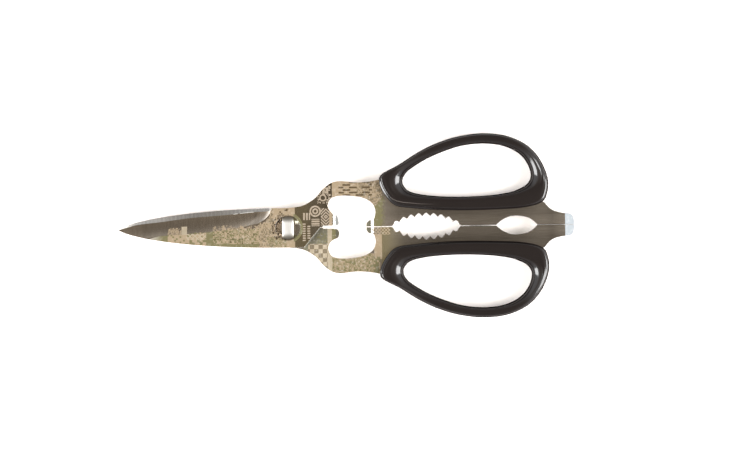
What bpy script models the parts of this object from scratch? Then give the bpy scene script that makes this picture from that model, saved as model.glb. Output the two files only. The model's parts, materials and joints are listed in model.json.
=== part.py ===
"""Take-apart kitchen and poultry shears, modelled closed and lying flat.

Two steel halves cross at a pivot stud, and each arm ends in a moulded grip with a finger loop.
All sizes below are millimetres, and MM turns them into Blender's metres. Shapes are drawn from
the pivot: X runs from it towards the grips, Y to the upper grip, Z out of the front blade's face,
and the two blades slide on each other at Z = 0. Two empties at the pivot then place the pieces,
so that the whole part's origin is in the middle of its footprint, on the table it lies on.

The back half is the front half turned 180 degrees about X, apart from its pivot hole and the
nub beside it, so every outline is written once, for the front half.
"""

import math

import bmesh
import bpy
from mathutils import Matrix

MM = 0.001

# Thicknesses, as heights above the plane between the blades.
BLADE_LOW = 0.1
BLADE_HIGH = 2.7
ARM_HALF_THICKNESS = 1.7
TIP_THICKNESS = 1.2
EDGE_HEIGHT = 0.8
GRIP_HALF_THICKNESS = 4.8
CUT_DEPTH = 10.0

# Lengths along X.
TIP_X = -76.3
TAPER_START_X = -48.0
GRIND_END_X = -9.0
SLOPE_START_X = 5.6
SLOPE_END_X = 20.0
CHISEL_START_X = 124.6
TAIL_X = 129.2
TAIL_END_HALF_THICKNESS = 0.6

# The blade's outline: half its width is BLADE_HALF_WIDTH * (1 - u**BLADE_SHAPE)**BLADE_ROUND,
# where u runs from 0 at the pivot to 1 at the tip.
BLADE_HALF_WIDTH = 9.0
BLADE_SHAPE = 2.2
BLADE_ROUND = 0.67
BLADE_STEPS = 24
GRIND_LINE_Y = -1.5

# Half of the gap between the two arms when the shears are closed.
HALF_GAP = 0.15

# Outlines of the front half, as points that a smooth curve passes through.
NECK = [
    (0, 9.0), (6.5, 9.9), (12, 13.0), (16, 17.4), (20, 20.2),
    (24, 20.8), (31, 20.15), (37, 20.5), (41.5, 21.3),
]
TANG = [
    (41.5, 21.3), (46, 21), (48, 18.2), (50.5, 13.8), (56, 11.4),
    (66, 10.3), (80, 9.9), (94, 10.2), (106, 11), (113, 11.6),
]
TAIL = [(115.8, 10.0), (118, 7.5), (120.5, 6.1), (124, 5.3), (127.0, 5.0), (128.5, 3.9), (129.2, 1.8)]
# The edge of the front blade where it crosses the lower arm.
CROSSING = [(7.3, -8.8), (14.6, HALF_GAP)]
# Behind this line the half fills both layers; in front of it, the other blade slides past.
# SHOULDER_LEAN is how far the shoulder leans back for each millimetre down.
SHOULDER = [(15.0, -30), (15.0, 0), (10.4, 5.9), (12.2, 13.6), (13.6, 30)]
SHOULDER_LEAN = 3.5

# Openings in the upper arm, each open towards the centre line.
UPPER_NUB = [(15.2, -1.0), (16.0, 0.85), (22.3, 0.95), (22.8, 3.0), (22.1, 5.2), (20.2, 6.2), (18.7, 8.1)]
LOWER_NUB = [(15.2, -1.0), (16.0, 0.6), (21.5, 0.7), (23.1, 2.2), (22.6, 4.6), (20.2, 5.8), (18.6, 7.6)]
LOBE = [(18.2, 10.0), (19.6, 12.9), (23, 14.0), (28, 14.0), (34, 13.0), (38, 10.6), (39.4, 7.4), (39.1, 4.4)]
END_NUB = [(38.3, 3.1), (36.6, 2.9), (35.4, 1.6), (35.3, -1.0)]
LENS = [
    (93.4, -1.0), (93.9, 0.0), (95.1, 1.2), (97, 2.6), (100, 3.9), (103, 4.15),
    (106.6, 3.75), (108.8, 3.0), (110.6, 1.8), (112.2, 0.2), (112.9, -1.0),
]

# The gripping opening: scallops on an arch. Each shape number is the power that rounds a curve.
SERRATED_X = (46.9, 77.8)
ARCH_MIDDLE = 62.3
ARCH_REACH = 14.6
ARCH_HEIGHT = 4.4
ARCH_SHAPE = 0.82
SCALLOPS = 9
SCALLOP_STEPS = 6
SCALLOP_DEPTH = 1.65
SCALLOP_SHAPE = 1.35

# The upper grip's band: each outer point has its inner point across the band from it.
GRIP_OUTER = [
    (41.4, 19.5), (42.3, 23.5), (50, 27.75), (60, 33.95), (69, 37.95), (78, 40.45), (88.5, 41.55),
    (99, 40.3), (108, 36.1), (114, 29.5), (117.4, 21), (117, 14), (114.2, 9.9), (106, 7.8),
    (94, 7.1), (80, 6.85), (68, 7.2), (57, 8.1), (48.6, 9.5), (44, 14),
]
GRIP_INNER = [
    (51.9, 20.3), (52.5, 22.6), (55.4, 25.7), (62.8, 30.2), (70.8, 33.6), (79, 36.0), (88.3, 36.85),
    (97.3, 35.75), (104.3, 32.3), (108.2, 27.6), (109.7, 22.3), (108.1, 18.6), (104.4, 16.3), (99.6, 14.75),
    (91, 13.6), (79.5, 13.1), (68.5, 13.4), (60, 14.4), (54.8, 15.9), (52.4, 18.4),
]
GRIP_STEPS = 3
GRIP_CORNER_STEPS = 4
OUTER_ROUNDING = 2.0
INNER_ROUNDING = 2.6
SLOT_START_X = 31.0

# The pivot: a post with a bar head, which passes the front half's keyhole at one angle only.
# The head stands across the closed shears, and the ears line up with it at RELEASE_ANGLE.
FIT_GAP = 0.3
RUNNING_GAP = 0.15
RELEASE_ANGLE = 100.0
HEAD_ANGLE = 90.0
HEAD_RADIUS = 5.25
HEAD_HALF_WIDTH = 2.55
HEAD_LOW = 1.6
HEAD_HIGH = 2.85
POST_RADIUS = 3.5
SHANK_RADIUS = 2.6
FLANGE_RADIUS = 4.3
FLANGE_THICKNESS = 0.9
RIM_DEPTH = 0.1
RECESS_RADIUS = HEAD_RADIUS + FIT_GAP
RECESS_FLOOR = HEAD_LOW - RUNNING_GAP
KEYHOLE_RADIUS = POST_RADIUS + RUNNING_GAP
EAR_GAP = 0.25
EAR_RADIUS = HEAD_RADIUS + EAR_GAP
EAR_HALF_WIDTH = HEAD_HALF_WIDTH + RUNNING_GAP
EAR_ANGLE = HEAD_ANGLE - RELEASE_ANGLE
EDGE_EASING = 0.2
EASED_ANGLE = 50.0
ROUND_SEGMENTS = 48

# Points closer than this, in metres, are one point.
WELD_DISTANCE = 1e-6


def smooth(points, steps=4):
    """Points along a curve through the given points, ends included."""
    ends = [points[0]] + list(points) + [points[-1]]
    curve = []
    for i in range(1, len(ends) - 2):
        curve += [spline_point(ends[i - 1 : i + 3], step / steps) for step in range(steps)]
    return curve + [tuple(points[-1])]


def smooth_loop(points, steps):
    """Points along a closed curve through the given points."""
    count = len(points)
    curve = []
    for i in range(count):
        four = [points[(i + k) % count] for k in (-1, 0, 1, 2)]
        curve += [spline_point(four, step / steps) for step in range(steps)]
    return curve


def spline_point(four, t):
    """The point at t between the second and the third of four points."""
    weights = (
        -0.5 * t + t * t - 0.5 * t**3,
        1 - 2.5 * t * t + 1.5 * t**3,
        0.5 * t + 2 * t * t - 1.5 * t**3,
        -0.5 * t * t + 0.5 * t**3,
    )
    return tuple(sum(w * point[axis] for w, point in zip(weights, four)) for axis in (0, 1))


def arc(radius, start, end, steps):
    """Points on a circle about the origin, from one angle in degrees to another."""
    angles = [math.radians(start + (end - start) * i / steps) for i in range(steps + 1)]
    return [(radius * math.cos(a), radius * math.sin(a)) for a in angles]


def plate(name, outline, low, high, collection):
    """A flat plate: the outline in XY, filled, between two heights."""
    curve = bpy.data.curves.new(name, "CURVE")
    curve.dimensions = "2D"
    curve.fill_mode = "BOTH"
    curve.extrude = (high - low) / 2 * MM
    spline = curve.splines.new("POLY")
    spline.points.add(len(outline) - 1)
    for point, (x, y) in zip(spline.points, outline):
        point.co = (x * MM, y * MM, 0, 1)
    spline.use_cyclic_u = True
    guide = bpy.data.objects.new(name + "_guide", curve)
    bpy.context.scene.collection.objects.link(guide)
    guide.location.z = (low + high) / 2 * MM
    bpy.context.view_layer.update()
    graph = bpy.context.evaluated_depsgraph_get()
    mesh = bpy.data.meshes.new_from_object(guide.evaluated_get(graph))
    mesh.transform(guide.matrix_world)
    weld(mesh)
    bpy.data.objects.remove(guide)
    bpy.data.curves.remove(curve)
    return mesh_object(name, mesh, collection)


def weld(mesh):
    shape = bmesh.new()
    shape.from_mesh(mesh)
    bmesh.ops.remove_doubles(shape, verts=shape.verts, dist=WELD_DISTANCE)
    bmesh.ops.recalc_face_normals(shape, faces=shape.faces)
    shape.to_mesh(mesh)
    shape.free()


def mesh_object(name, mesh, collection):
    obj = bpy.data.objects.new(name, mesh)
    mesh.name = name
    collection.objects.link(obj)
    return obj


def turned(name, profile, collection):
    """A body turned about Z from a profile of (radius, height) points, listed from top to bottom."""
    mesh = bpy.data.meshes.new(name)
    points = [(radius * MM, 0, height * MM) for radius, height in profile]
    mesh.from_pydata(points, [(i, i + 1) for i in range(len(points) - 1)], [])
    obj = mesh_object(name, mesh, collection)
    screw = obj.modifiers.new("Turn", "SCREW")
    screw.steps = screw.render_steps = ROUND_SEGMENTS
    screw.use_merge_vertices = True
    screw.merge_threshold = WELD_DISTANCE
    return obj


def boolean(obj, other, operation):
    """Cuts or joins with another object, which then turns with this one."""
    other.parent = obj
    modifier = obj.modifiers.new(f"{operation.title()} {other.name}", "BOOLEAN")
    modifier.operation = operation
    modifier.solver = "EXACT"
    modifier.object = other


def as_cutter(obj):
    obj.hide_render = True
    obj.display_type = "WIRE"
    return obj


def side_prism(name, profile, collection):
    """A prism across the whole part: the profile is in XZ."""
    obj = plate(name, profile, -CUT_DEPTH * 5, CUT_DEPTH * 5, collection)
    obj.data.transform(Matrix.Rotation(math.radians(90), 4, "X"))
    return obj


def end_prism(name, profile, start_x, end_x, collection):
    """A prism along X between two places: the profile is in YZ."""
    obj = plate(name, profile, start_x, end_x, collection)
    obj.data.transform(Matrix.Rotation(math.radians(90), 4, "Y") @ Matrix.Rotation(math.radians(90), 4, "Z"))
    return obj


def blade_half_width(x):
    return BLADE_HALF_WIDTH * (1 - (x / TIP_X) ** BLADE_SHAPE) ** BLADE_ROUND


def blade_side(side):
    """One side of the blade, from the tip to the pivot: 1 is the cutting edge and -1 is the back."""
    along = [TIP_X * math.cos(math.radians(90 * i / BLADE_STEPS)) for i in range(BLADE_STEPS)]
    return [(x, side * blade_half_width(x)) for x in along]


def half_outline():
    """The front half's silhouette, counter-clockwise from the tip."""
    inner_edge = [(TAIL_X, HALF_GAP)]
    outer_edge = smooth(NECK) + smooth(TANG)[1:] + smooth(TAIL)
    return (
        blade_side(-1)
        + CROSSING
        + inner_edge
        + list(reversed(outer_edge))
        + list(reversed(blade_side(1)))[:-1]
    )


def top_relief(collection):
    """What lies above the half: thinner at the tip, sloping down at the neck, chiselled at the tail."""
    far = CUT_DEPTH
    profile = [
        (TIP_X - far, TIP_THICKNESS - (BLADE_HIGH - TIP_THICKNESS) * far / (TAPER_START_X - TIP_X)),
        (TAPER_START_X, BLADE_HIGH),
        (SLOPE_START_X, BLADE_HIGH),
        (SLOPE_END_X, ARM_HALF_THICKNESS),
        (CHISEL_START_X, ARM_HALF_THICKNESS),
        (TAIL_X, TAIL_END_HALF_THICKNESS),
        (TAIL_X + far, TAIL_END_HALF_THICKNESS),
        (TAIL_X + far, far),
        (TIP_X - far, far),
    ]
    return as_cutter(side_prism("top_relief", profile, collection))


def arm_underside(collection):
    """What lies below the arm, with the other face of the chisel."""
    far = CUT_DEPTH
    profile = [
        (0, -ARM_HALF_THICKNESS),
        (0, -far),
        (TAIL_X + far, -far),
        (TAIL_X + far, -TAIL_END_HALF_THICKNESS),
        (TAIL_X, -TAIL_END_HALF_THICKNESS),
        (CHISEL_START_X, -ARM_HALF_THICKNESS),
    ]
    return as_cutter(side_prism("arm_underside", profile, collection))


def blade_pocket(collection):
    """The layer that belongs to the other blade, up to the leaning shoulder."""
    outline = SHOULDER + [(TIP_X - CUT_DEPTH, 30), (TIP_X - CUT_DEPTH, -30)]
    pocket = plate("blade_pocket", outline, -CUT_DEPTH, BLADE_LOW, collection)
    for vertex in pocket.data.vertices:
        vertex.co.x += SHOULDER_LEAN * (BLADE_LOW * MM - vertex.co.z)
    return as_cutter(pocket)


def grind(collection):
    """The flat ground from the middle of the blade down to its cutting edge."""
    rise = (BLADE_HIGH - EDGE_HEIGHT) / (BLADE_HALF_WIDTH - GRIND_LINE_Y)
    far = CUT_DEPTH
    profile = [
        (GRIND_LINE_Y - 1, BLADE_HIGH + rise),
        (BLADE_HALF_WIDTH + 1, EDGE_HEIGHT - rise),
        (BLADE_HALF_WIDTH + far, EDGE_HEIGHT - rise),
        (BLADE_HALF_WIDTH + far, far),
        (GRIND_LINE_Y - 1, far),
    ]
    return as_cutter(end_prism("grind", profile, TIP_X - far, GRIND_END_X, collection))


def lifter_opening(nub, name, collection):
    """Half of the opening with the cap-lifting nubs."""
    outline = nub[:1] + smooth(nub[1:] + LOBE + END_NUB[:-1], 3) + END_NUB[-1:]
    return as_cutter(plate(name, outline, -CUT_DEPTH, CUT_DEPTH, collection))


def serrated_opening(collection):
    """Half of the gripping opening: a row of scallops on an arch."""
    start, end = SERRATED_X
    pitch = (end - start) / SCALLOPS
    outline = [(start, -1.0)]
    for i in range(SCALLOPS * SCALLOP_STEPS + 1):
        x = start + pitch * i / SCALLOP_STEPS
        along = min(abs(x - ARCH_MIDDLE) / ARCH_REACH, 1)
        across = abs(2 * (i % SCALLOP_STEPS) / SCALLOP_STEPS - 1)
        arch = ARCH_HEIGHT * (1 - along**2) ** ARCH_SHAPE
        outline.append((x, arch + SCALLOP_DEPTH * (1 - across**SCALLOP_SHAPE)))
    outline.append((end, -1.0))
    return as_cutter(plate("serrated_opening", outline, -CUT_DEPTH, CUT_DEPTH, collection))


def lens_opening(collection):
    return as_cutter(plate("lens_opening", smooth(LENS), -CUT_DEPTH, CUT_DEPTH, collection))


def slotted_disc(radius, ear_radius, ear_half_width, angle):
    """A disc with two opposite ears: the outline that the stud's head and the keyhole share."""
    ear = math.degrees(math.asin(ear_half_width / ear_radius))
    root = math.degrees(math.asin(min(ear_half_width / radius, 1)))
    outline = []
    for half_turn in (angle, angle + 180):
        outline += arc(ear_radius, half_turn - ear, half_turn + ear, 8)
        if root < 89:
            outline += arc(radius, half_turn + root, half_turn + 180 - root, 8)
    return outline


def steel_half(name, nub, collection, cutters):
    """One blade with its arm and tang, still without a pivot hole."""
    half = plate(name, half_outline(), -ARM_HALF_THICKNESS - 1, BLADE_HIGH + 1, collection)
    for cutter in (
        top_relief(cutters),
        arm_underside(cutters),
        blade_pocket(cutters),
        grind(cutters),
        lifter_opening(nub, name + "_lifter_opening", cutters),
        serrated_opening(cutters),
        lens_opening(cutters),
    ):
        boolean(half, cutter, "DIFFERENCE")
    return half


def front_half(collection, cutters):
    half = steel_half("front_half", UPPER_NUB, collection, cutters)
    high = CUT_DEPTH
    profile = [(0, high), (RECESS_RADIUS, high), (RECESS_RADIUS, RECESS_FLOOR), (0, RECESS_FLOOR)]
    recess = turned("pivot_recess", profile, cutters)
    outline = slotted_disc(KEYHOLE_RADIUS, EAR_RADIUS, EAR_HALF_WIDTH, EAR_ANGLE)
    keyhole = plate("keyhole", outline, -high, high / 2, cutters)
    for cutter in (recess, keyhole):
        boolean(half, as_cutter(cutter), "DIFFERENCE")
    return half


def back_half(collection, cutters):
    """Built like the front half, then turned over about X."""
    half = steel_half("back_half", LOWER_NUB, collection, cutters)
    high = CUT_DEPTH
    seat_radius, hole_radius = FLANGE_RADIUS + FIT_GAP, SHANK_RADIUS + FIT_GAP
    seat_floor = BLADE_HIGH - RIM_DEPTH - FLANGE_THICKNESS - FIT_GAP
    profile = [
        (0, high),
        (seat_radius, high),
        (seat_radius, seat_floor),
        (hole_radius, seat_floor),
        (hole_radius, -high),
        (0, -high),
    ]
    rivet_hole = turned("rivet_hole", profile, cutters)
    boolean(half, as_cutter(rivet_hole), "DIFFERENCE")
    half.rotation_euler.x = math.pi
    return half


def pivot_stud(collection, cutters):
    """The post with its shank riveted into the back half, joined to the bar head."""
    post_low = -BLADE_LOW + FIT_GAP
    post_high = (HEAD_LOW + HEAD_HIGH) / 2
    flange_low = RIM_DEPTH - BLADE_HIGH
    flange_high = flange_low + FLANGE_THICKNESS
    profile = [
        (0, post_high),
        (HEAD_HALF_WIDTH - FIT_GAP, post_high),
        (POST_RADIUS, RECESS_FLOOR),
        (POST_RADIUS, post_low),
        (SHANK_RADIUS, post_low),
        (SHANK_RADIUS, flange_high),
        (FLANGE_RADIUS, flange_high),
        (FLANGE_RADIUS, flange_low),
        (0, flange_low),
    ]
    stud = turned("pivot_stud", profile, collection)
    outline = slotted_disc(HEAD_HALF_WIDTH, HEAD_RADIUS, HEAD_HALF_WIDTH, HEAD_ANGLE)
    head = as_cutter(plate("bar_head", outline, HEAD_LOW, HEAD_HIGH, cutters))
    boolean(stud, head, "UNION")
    bevel = stud.modifiers.new("Eased edges", "BEVEL")
    bevel.width = EDGE_EASING * MM
    bevel.segments = 1
    bevel.limit_method = "ANGLE"
    bevel.angle_limit = math.radians(EASED_ANGLE)
    return stud


def grip_section(outer, inner):
    """One section of the band: points up round its outer edge, then down round its inner edge."""
    width = math.dist(outer, inner)
    section = []
    for rounding, near, far, up in (
        (OUTER_ROUNDING, outer, inner, 1),
        (INNER_ROUNDING, inner, outer, -1),
    ):
        for step in range(1 - GRIP_CORNER_STEPS, GRIP_CORNER_STEPS):
            angle = math.radians(90 * step / (GRIP_CORNER_STEPS - 1))
            inset = rounding * (1 - math.cos(angle)) / width
            x, y = (a + (b - a) * inset for a, b in zip(near, far))
            section.append((x * MM, y * MM, up * GRIP_HALF_THICKNESS * math.sin(angle) * MM))
    return section


def grip_band(name, collection):
    """The loop, lofted round its sections."""
    sections = [
        grip_section(outer, inner)
        for outer, inner in zip(smooth_loop(GRIP_OUTER, GRIP_STEPS), smooth_loop(GRIP_INNER, GRIP_STEPS))
    ]
    count, size = len(sections), len(sections[0])
    points = [point for section in sections for point in section]
    faces = []
    for i in range(count):
        for k in range(size):
            a, b = i * size, (i + 1) % count * size
            faces.append((a + k, a + (k + 1) % size, b + (k + 1) % size, b + k))
    mesh = bpy.data.meshes.new(name)
    mesh.from_pydata(points, [], faces)
    weld(mesh)
    return mesh_object(name, mesh, collection)


def tang_slot(collection):
    """The arm's outline grown by the fit gap, for the slot that the tang sits in."""
    neck = [point for point in smooth(NECK) if point[0] >= SLOT_START_X]
    edge = neck + smooth(TANG)[1:] + smooth(TAIL)
    grown = []
    for before, here, after in zip(edge, edge[1:], edge[2:]):
        along = (after[0] - before[0], after[1] - before[1])
        size = math.hypot(*along)
        grown.append((here[0] - along[1] / size * FIT_GAP, here[1] + along[0] / size * FIT_GAP))
    outline = grown + [(TAIL_X, 0), (grown[0][0], 0)]
    height = ARM_HALF_THICKNESS + FIT_GAP
    return as_cutter(plate("tang_slot", outline, -height, height, collection))


def grip(name, turn, collection, cutters):
    band = grip_band(name, collection)
    boolean(band, tang_slot(cutters), "DIFFERENCE")
    band.rotation_euler.x = turn
    return band


def material(name, colour, metallic, roughness):
    made = bpy.data.materials.new(name)
    made.use_nodes = True
    made.diffuse_color = (*colour, 1)
    shader = made.node_tree.nodes["Principled BSDF"]
    shader.inputs["Base Color"].default_value = (*colour, 1)
    shader.inputs["Metallic"].default_value = metallic
    shader.inputs["Roughness"].default_value = roughness
    return made


def clear_scene():
    for obj in list(bpy.data.objects):
        bpy.data.objects.remove(obj)
    for collection in list(bpy.data.collections):
        bpy.data.collections.remove(collection)


def pivot_empty(name, collection):
    """An empty on the pivot's axis, which puts the part's origin under the middle of its footprint."""
    empty = bpy.data.objects.new(name, None)
    empty.location = (-(TIP_X + TAIL_X) / 2 * MM, 0, GRIP_HALF_THICKNESS * MM)
    empty.empty_display_size = 10 * MM
    collection.objects.link(empty)
    return empty


def new_collection(name):
    collection = bpy.data.collections.new(name)
    bpy.context.scene.collection.children.link(collection)
    return collection


def main():
    clear_scene()
    shears = new_collection("poultry_shears")
    cutters = new_collection("cutters")
    cutters.hide_render = True

    moving_pivot = pivot_empty("moving_pivot", shears)
    fixed_pivot = pivot_empty("fixed_pivot", shears)

    front = front_half(shears, cutters)
    back = back_half(shears, cutters)
    stud = pivot_stud(shears, cutters)
    upper = grip("upper_grip", 0, shears, cutters)
    lower = grip("lower_grip", math.pi, shears, cutters)
    for moving in (front, upper):
        moving.parent = moving_pivot
    for fixed in (back, lower, stud):
        fixed.parent = fixed_pivot

    looks = {
        front: ("front_half_steel", (0.42, 0.38, 0.33), 1.0, 0.38),
        back: ("back_half_steel", (0.40, 0.37, 0.32), 1.0, 0.38),
        stud: ("stud_steel", (0.75, 0.75, 0.74), 1.0, 0.18),
        upper: ("upper_grip_plastic", (0.022, 0.018, 0.017), 0.0, 0.28),
        lower: ("lower_grip_plastic", (0.022, 0.018, 0.017), 0.0, 0.28),
    }
    for obj, look in looks.items():
        obj.data.materials.append(material(*look))
        obj.data.shade_smooth()
        obj.data.set_sharp_from_angle(angle=math.radians(35))


main()
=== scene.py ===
"""Take-apart kitchen and poultry shears: the looks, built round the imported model.

Shapes are drawn in millimetres from the pivot: X runs from it towards the grips, Y to the upper
grip, Z out of the front blade's face. MM turns them into metres, and PIVOT is the pivot's place.
"""

import json
import math

import bmesh
import bpy
import numpy as np
from mathutils import Matrix, Vector


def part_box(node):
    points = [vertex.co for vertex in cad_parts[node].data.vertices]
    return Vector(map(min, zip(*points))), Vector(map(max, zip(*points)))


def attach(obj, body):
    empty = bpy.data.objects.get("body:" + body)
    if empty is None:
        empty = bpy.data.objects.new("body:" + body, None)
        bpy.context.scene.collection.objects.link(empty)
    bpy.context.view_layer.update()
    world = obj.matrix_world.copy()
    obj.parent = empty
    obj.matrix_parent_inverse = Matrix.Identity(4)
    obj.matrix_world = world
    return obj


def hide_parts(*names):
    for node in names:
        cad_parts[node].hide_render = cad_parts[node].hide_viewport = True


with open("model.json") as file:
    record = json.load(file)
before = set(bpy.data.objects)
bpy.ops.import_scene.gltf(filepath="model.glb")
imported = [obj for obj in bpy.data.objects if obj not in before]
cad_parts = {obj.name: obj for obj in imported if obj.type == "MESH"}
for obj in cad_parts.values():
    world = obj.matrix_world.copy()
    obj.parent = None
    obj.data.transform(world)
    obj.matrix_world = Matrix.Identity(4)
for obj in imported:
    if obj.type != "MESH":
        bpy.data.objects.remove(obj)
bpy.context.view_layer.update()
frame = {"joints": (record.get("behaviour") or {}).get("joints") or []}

MM = 0.001
PIVOT = Vector(frame["joints"][0]["pos_m"])

# What the camera sees at the pivot's height: the width, and the middle as seen from the pivot.
VIEW_WIDTH = 330.6
VIEW_CENTRE = (35.37, -3.45)
VIEW_TURN = math.radians(-0.722)
CAMERA_DISTANCE = 1.2
SENSOR_WIDTH = 36.0

# A cutter reaches this far past the part.
FAR = 12.0

# Heights above the plane between the blades.
BLADE_LOW = 0.1
BLADE_HIGH = 2.7
ARM_HALF = 1.7
BEVEL_HIGH = 1.25
CUTTING_EDGE_HIGH = 0.35
CHISEL_HALF = 0.92

# Places along X.
TIP_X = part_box("front_half")[0].x / MM - PIVOT.x / MM
TAIL_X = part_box("front_half")[1].x / MM - PIVOT.x / MM
SLOPE_X = (5.6, 20.0)
CHISEL_X = 124.9

# How far each half's inner side stands from the line between the halves, at the openings and the tail.
HALF_GAP = 0.15
TAIL_GAP = 0.03

# The blade's outline, as in the frame: a power curve from the pivot to the tip.
BLADE_HALF_WIDTH = 9.0
BLADE_SHAPE = 2.2
BLADE_ROUND = 0.67
SERRATION_PITCH = 1.8
SERRATION_DEPTH = 0.14
SERRATION_END_X = -9.0
SERRATION_FADE = 6.0

# Curves of the front half.
NECK = [
    (0, 9.0), (6.5, 9.9), (12, 13.0), (16, 17.4), (20, 20.2),
    (24, 20.8), (31, 20.15), (37, 20.5), (41.5, 21.3),
]
TANG = [
    (41.5, 21.3), (46, 21), (48, 18.2), (50.5, 13.8), (56, 11.4),
    (66, 10.3), (80, 9.9), (94, 10.2), (106, 11), (113, 11.6),
]
TAIL = [
    (115.8, 10.0), (118, 7.5), (120.5, 6.1), (124, 5.3),
    (127.0, 5.0), (128.5, 3.9), (129.1, 1.8), (129.2, 0.3),
]
CROSSING = [(7.3, -8.8), (14.6, HALF_GAP)]
SHOULDER_SLOPE = 3.5
SHOULDER = [(15.0, -30), (15.0, 0), (10.4, 5.9), (12.2, 13.6), (13.6, 30)]
UPPER_NUB = [(15.2, -1.0), (16.0, 0.85), (22.3, 0.95), (22.8, 3.0), (22.1, 5.2), (20.2, 6.2), (18.7, 8.1)]
LOWER_NUB = [(15.2, -1.0), (16.0, 0.6), (21.5, 0.7), (23.1, 2.2), (22.6, 4.6), (20.2, 5.8), (18.6, 7.6)]
LOBE = [(18.2, 10.0), (19.6, 12.9), (23, 14.0), (28, 14.0), (34, 13.0), (38, 10.6), (39.4, 7.4), (39.1, 4.4)]
END_NUB = [(38.3, 3.1), (36.6, 2.9), (35.4, 1.6), (35.3, -1.0)]
SERRATED_X = (46.9, 77.8)
SERRATED_MIDDLE = 62.3
SERRATED_REACH = 14.6
SERRATED_HEIGHT = 4.4
SCALLOPS = 9
SCALLOP_DEPTH = 1.65
LENS = [
    (93.4, -1.0), (93.9, 0.0), (95.1, 1.2), (97, 2.6), (100, 3.9), (103, 4.15),
    (106.6, 3.75), (108.8, 3.0), (110.6, 1.8), (112.2, 0.2), (112.9, -1.0),
]

# Where the hollow grind starts on the blade's flat, and where the cutting bevel starts on the grind.
GRIND_START = [
    (-80, -10), (-68, -5.5), (-64, -4.2), (-58, -3.1), (-52, -2.7), (-45, -2.2),
    (-37, -1.7), (-32, -1.0), (-27, -0.4), (-22, 0.3), (-14, 1.9), (0, 4.0),
]
BEVEL_START = [
    (-80, -0.6), (-76, 0.1), (-70, 1.7), (-66, 2.4), (-58, 3.2), (-50.8, 4.1), (-43.6, 5.0),
    (-36.4, 5.5), (-29.2, 6.0), (-24, 6.5), (-19, 7.0), (-15, 7.3), (0, 8.0),
]
# The grind ends in a plunge that curves to the cutting edge, with a runout before it.
PLUNGE_X = -13.5
PLUNGE_REACH = 6.3
RUNOUT = 6.0
RIDGE_HEIGHT = 0.05
GRIND_ROWS = 260
GRIND_DEPTHS = [-0.15, 0] + [i / 10 for i in range(1, 11)] + [1.25, 1.5, 1.75, 2.0, 2.4]

# The upper grip's band: each outer point has its inner point across the band from it.
GRIP_OUTER = [
    (41.4, 19.5), (42.3, 23.5), (50, 27.75), (60, 33.95), (69, 37.95), (78, 40.45), (88.5, 41.55),
    (99, 40.3), (108, 36.1), (114, 29.5), (117.4, 21), (117, 14), (114.2, 9.9), (106, 7.8),
    (94, 7.1), (80, 6.85), (68, 7.2), (57, 8.1), (48.6, 9.5), (44, 14),
]
GRIP_INNER = [
    (51.9, 20.3), (52.5, 22.6), (55.4, 25.7), (62.8, 30.2), (70.8, 33.6), (79, 36.0), (88.3, 36.85),
    (97.3, 35.75), (104.3, 32.3), (108.2, 27.6), (109.7, 22.3), (108.1, 18.6), (104.4, 16.3), (99.6, 14.75),
    (91, 13.6), (79.5, 13.1), (68.5, 13.4), (60, 14.4), (54.8, 15.9), (52.4, 18.4),
]
GRIP_HALF = 4.8
GRIP_CROWN = 0.18
GRIP_ROUNDING = 1.3
GRIP_STEPS = 10
# Along the steel, the band has a steep wall and then a chamfer: (inset, height) pairs.
CHAMFER = [
    (0, 0), (0, 1.8), (0, 2.7), (0.05, 3.2), (0.14, 3.45), (0.4, 3.6), (0.65, 3.74), (0.9, 3.9), (1.02, 4.05),
    (1.14, 4.3), (1.28, 4.48), (1.45, 4.56), (1.8, 4.6), (2.3, 4.62),
]

# The pivot stud's bar head, post and rivet, and the holes and sinks that they sit in.
HEAD_ANGLE = 90.0
HEAD_RADIUS = 5.25
HEAD_HALF_WIDTH = 2.55
HEAD_LOW = 1.6
HEAD_HIGH = 2.9
HEAD_CROWN = 0.25
HEAD_LEVEL_HALF = 2.6
HEAD_END_DROP = 0.9
POST_RADIUS = 3.5
SHANK_RADIUS = 2.6
RIVET_RADIUS = 4.3
RIVET_HOLE_RADIUS = 2.9
RIVET_SINK_RADIUS = 4.6
RIVET_SINK_FLOOR = 1.4
KEYHOLE_RADIUS = 3.65
EAR_ANGLE = -10.0
EAR_RADIUS = 5.5
EAR_HALF_WIDTH = 2.7
RECESS_RADIUS = 5.55
RECESS_FLOOR = 1.45
RECESS_CHAMFER = 0.5

# Steel edges: folds flatter than the first angle are shaded smooth, sharper than the second rounded.
SMOOTH_ANGLE = 7.5
ROUNDED_ANGLE = 35.0
EDGE_ROUNDING = 0.14


# ---------------------------------------------------------------- curves


def smooth(points, steps=8):
    """Points along a curve through the given points, ends included."""
    ends = [points[0]] + list(points) + [points[-1]]
    curve = []
    for i in range(1, len(ends) - 2):
        curve += [spline_point(ends[i - 1 : i + 3], step / steps) for step in range(steps)]
    return curve + [tuple(points[-1])]


def smooth_loop(points, steps):
    count = len(points)
    curve = []
    for i in range(count):
        four = [points[(i + k) % count] for k in (-1, 0, 1, 2)]
        curve += [spline_point(four, step / steps) for step in range(steps)]
    return curve


def spline_point(four, t):
    """The point at t between the second and the third of four points."""
    weights = (
        -0.5 * t + t * t - 0.5 * t**3,
        1 - 2.5 * t * t + 1.5 * t**3,
        0.5 * t + 2 * t * t - 1.5 * t**3,
        -0.5 * t * t + 0.5 * t**3,
    )
    return tuple(sum(w * point[axis] for w, point in zip(weights, four)) for axis in (0, 1))


def height_on(points, x):
    """Y of the smooth curve through the points, at x."""
    xs, ys = zip(*smooth(points))
    return np.interp(x, xs, ys)


def arc(radius, start, end, steps):
    angles = [math.radians(start + (end - start) * i / steps) for i in range(steps + 1)]
    return [(radius * math.cos(a), radius * math.sin(a)) for a in angles]


def ease(t):
    t = min(max(t, 0.0), 1.0)
    return t * t * (3 - 2 * t)


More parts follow.
